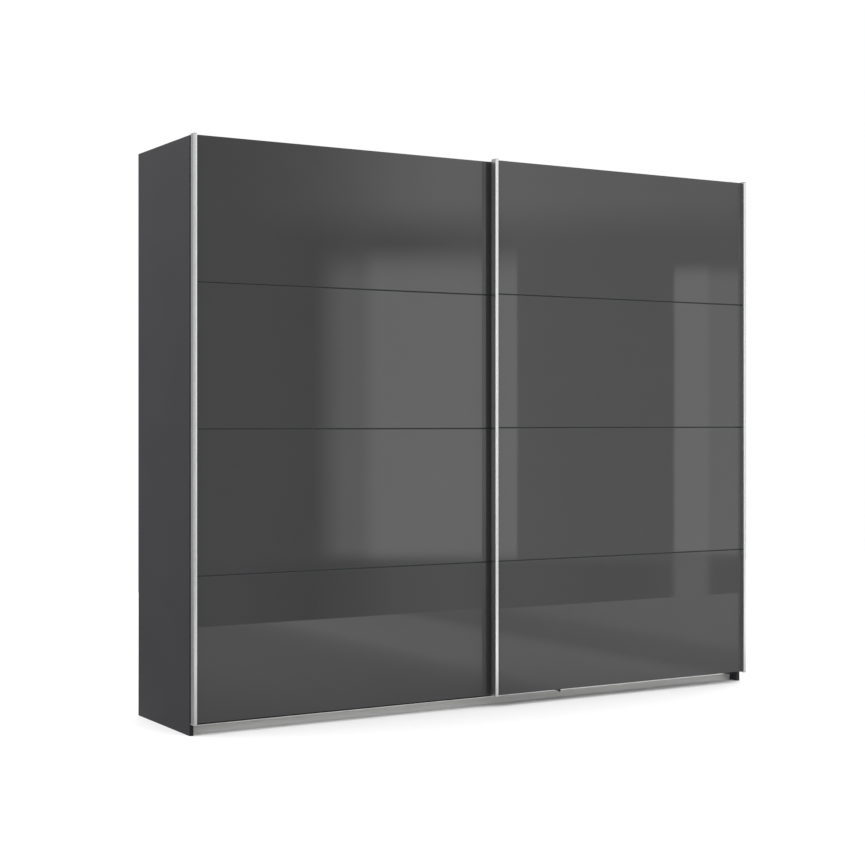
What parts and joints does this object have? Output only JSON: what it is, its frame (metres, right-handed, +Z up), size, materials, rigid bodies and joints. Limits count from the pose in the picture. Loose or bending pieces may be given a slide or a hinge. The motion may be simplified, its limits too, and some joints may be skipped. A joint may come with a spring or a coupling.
{
  "type": "sliding door wardrobe",
  "caption": "Wide graphite wardrobe with sliding glass-faced doors hung from an upper track, aluminium handle profiles, shelves and clothes rails inside.",
  "frame": {"origin": "on the floor, at the centre of the wardrobe's outline seen from above", "axes": "+X to the right as one faces the doors, +Y from the room towards the wall behind, +Z up"},
  "size_m": [2.71, 0.6026, 2.2805],
  "materials": {
    "graphite_board": "graphite melamine foil on chipboard, satin",
    "back_board": "hardboard with a printed graphite face",
    "door_board": "graphite melamine foil on chipboard, satin",
    "lacquered_glass": "high gloss, lacquered behind, opaque",
    "satin_aluminium": "satin anodised",
    "silver_rail": "satin anodised",
    "grey_plastic": "moulded, satin",
    "black_plastic": "moulded, fine grain",
    "zinc_steel": "zinc plated",
    "chromed_tube": "chromed steel tube",
    "white_nylon": "moulded nylon"
  },
  "bodies": {
    "carcass": {"back_joint_strip_left": "black_plastic", "back_joint_strip_right": "black_plastic", "back_panel_left_inner": "back_board", "back_panel_left_outer": "back_board", "back_panel_right_inner": "back_board", "back_panel_right_outer": "back_board", "bottom_panel_left": "graphite_board", "bottom_panel_right": "graphite_board", "centre_partition": "graphite_board", "clothes_rail_bracket_left_inner": "zinc_steel", "clothes_rail_bracket_left_outer": "zinc_steel", "clothes_rail_bracket_right_inner": "zinc_steel", "clothes_rail_bracket_right_outer": "zinc_steel", "clothes_rail_left": "chromed_tube", "clothes_rail_right": "chromed_tube", "hat_shelf_left": "graphite_board", "hat_shelf_right": "graphite_board", "left_side_panel": "graphite_board", "lower_guide_rail": "silver_rail", "rear_plinth_bar": "graphite_board", "right_side_panel": "graphite_board", "support_foot_left": "black_plastic", "support_foot_right": "black_plastic", "top_panel_left": "graphite_board", "top_panel_right": "graphite_board", "track_end_stop_left": "black_plastic", "track_end_stop_right": "black_plastic", "upper_running_track": "satin_aluminium"},
    "left_door": {"left_door_board": "door_board", "left_door_bottom_cap_left": "grey_plastic", "left_door_bottom_cap_right": "grey_plastic", "left_door_bottom_guide": "black_plastic", "left_door_glass_pane_1": "lacquered_glass", "left_door_glass_pane_2": "lacquered_glass", "left_door_glass_pane_3": "lacquered_glass", "left_door_glass_pane_4": "lacquered_glass", "left_door_handle_profile_left": "satin_aluminium", "left_door_handle_profile_right": "satin_aluminium", "left_door_hanger_left": "zinc_steel", "left_door_hanger_right": "zinc_steel", "left_door_top_cap_left": "grey_plastic", "left_door_top_cap_right": "grey_plastic"},
    "right_door": {"right_door_board": "door_board", "right_door_bottom_cap_left": "grey_plastic", "right_door_bottom_cap_right": "grey_plastic", "right_door_bottom_guide": "black_plastic", "right_door_glass_pane_1": "lacquered_glass", "right_door_glass_pane_2": "lacquered_glass", "right_door_glass_pane_3": "lacquered_glass", "right_door_glass_pane_4": "lacquered_glass", "right_door_handle_profile_left": "satin_aluminium", "right_door_handle_profile_right": "satin_aluminium", "right_door_hanger_left": "zinc_steel", "right_door_hanger_right": "zinc_steel", "right_door_top_cap_left": "grey_plastic", "right_door_top_cap_right": "grey_plastic"},
    "left_door_wheel_left": {"left_door_wheel_left": "white_nylon"},
    "left_door_wheel_right": {"left_door_wheel_right": "white_nylon"},
    "right_door_wheel_left": {"right_door_wheel_left": "white_nylon"},
    "right_door_wheel_right": {"right_door_wheel_right": "white_nylon"}
  },
  "joints": [
    {"name": "left_door_slide", "type": "slide", "parent": "carcass", "child": "left_door", "axis": [1, 0, 0], "range_m": [0, 1.33]},
    {"name": "right_door_slide", "type": "slide", "parent": "carcass", "child": "right_door", "axis": [1, 0, 0], "range_m": [-1.33, 0]},
    {"name": "left_door_wheel_left_spin", "type": "hinge", "parent": "left_door", "child": "left_door_wheel_left", "pos_m": [-1.292, -0.22275, 2.2551], "axis": [0, 1, 0], "range_deg": [0, 5260]},
    {"name": "left_door_wheel_right_spin", "type": "hinge", "parent": "left_door", "child": "left_door_wheel_right", "pos_m": [-0.054, -0.22275, 2.2551], "axis": [0, 1, 0], "range_deg": [0, 5260]},
    {"name": "right_door_wheel_left_spin", "type": "hinge", "parent": "right_door", "child": "right_door_wheel_left", "pos_m": [0.038, -0.19275, 2.2551], "axis": [0, 1, 0], "range_deg": [-5260, 0]},
    {"name": "right_door_wheel_right_spin", "type": "hinge", "parent": "right_door", "child": "right_door_wheel_right", "pos_m": [1.276, -0.19275, 2.2551], "axis": [0, 1, 0], "range_deg": [-5260, 0]}
  ],
  "couplings": [
    {"joint": "left_door_wheel_left_spin", "follows": "left_door_slide", "rad_per_m": 68.966},
    {"joint": "left_door_wheel_right_spin", "follows": "left_door_slide", "rad_per_m": 68.966},
    {"joint": "right_door_wheel_left_spin", "follows": "right_door_slide", "rad_per_m": 68.966},
    {"joint": "right_door_wheel_right_spin", "follows": "right_door_slide", "rad_per_m": 68.966}
  ]
}
